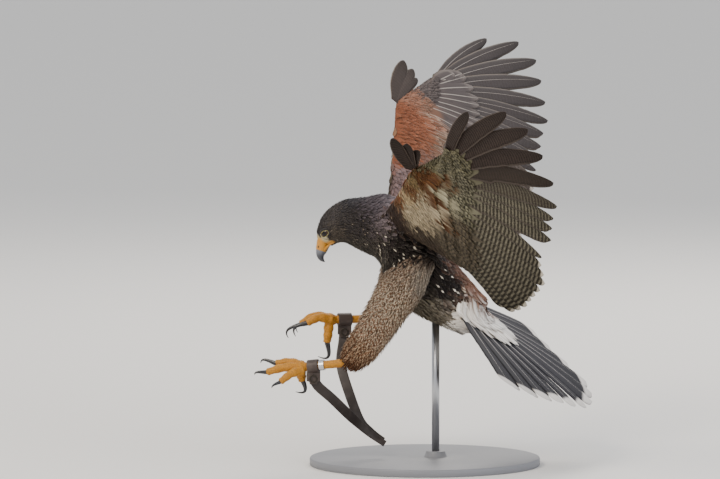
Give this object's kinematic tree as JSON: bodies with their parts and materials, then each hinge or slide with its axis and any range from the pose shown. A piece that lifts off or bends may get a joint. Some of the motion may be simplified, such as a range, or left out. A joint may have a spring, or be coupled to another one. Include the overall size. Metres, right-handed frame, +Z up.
{
  "type": "harris hawk on a display stand",
  "caption": "Life-size young hawk braking to land: wings raised and fanned, tail spread, taloned feet reaching forward, held up by a flat round stand and a rod.",
  "frame": {"origin": "centre of the stand's underside, on the floor plane", "axes": "+Z up, the bird faces -X, its left side towards -Y"},
  "size_m": [0.4423, 0.9435, 0.5317],
  "materials": {
    "dark_feather": "dark grey-brown body feathers",
    "rufous_feather": "chestnut covert and leg feathers",
    "white_feather": "white tail coverts",
    "flight_feather": "stiff dark flight and tail feathers",
    "leg_scute": "bare orange-yellow scaly skin",
    "horn": "polished dark slate horn of bill and claws",
    "cere": "bare orange-yellow skin at the bill's root",
    "cornea": "wet dark brown eye",
    "strap_leather": "dark brown greased leather",
    "ring_aluminium": "plain satin aluminium leg ring",
    "painted_steel": "mid grey powder coat",
    "brushed_steel": "brushed along the rod"
  },
  "bodies": {
    "root": {"head": "dark_feather", "neck": "dark_feather", "trunk": "dark_feather", "rump": "rufous_feather", "wing_hand_left": "rufous_feather", "wing_hand_right": "rufous_feather", "wing_arm_left": "rufous_feather", "wing_arm_right": "rufous_feather", "thigh_left": "rufous_feather", "thigh_right": "rufous_feather", "tail_coverts": "white_feather", "primaries_left": "flight_feather", "primaries_right": "flight_feather", "secondaries_left": "flight_feather", "secondaries_right": "flight_feather", "alula_left": "flight_feather", "alula_right": "flight_feather", "tail": "flight_feather", "tarsus_left": "leg_scute", "tarsus_right": "leg_scute", "foot_left": "leg_scute", "foot_right": "leg_scute", "bill_upper": "horn", "bill_lower": "horn", "claw_inner_left": "horn", "claw_inner_right": "horn", "claw_middle_left": "horn", "claw_middle_right": "horn", "claw_outer_left": "horn", "claw_outer_right": "horn", "claw_hallux_left": "horn", "claw_hallux_right": "horn", "cere": "cere", "eye_left": "cornea", "eye_right": "cornea", "anklet_left": "strap_leather", "anklet_right": "strap_leather", "eyelet_left": "strap_leather", "eyelet_right": "strap_leather", "jess_left": "strap_leather", "jess_right": "strap_leather", "leg_ring": "ring_aluminium", "stand_base": "painted_steel", "stand_rod": "brushed_steel"}
  },
  "joints": []
}
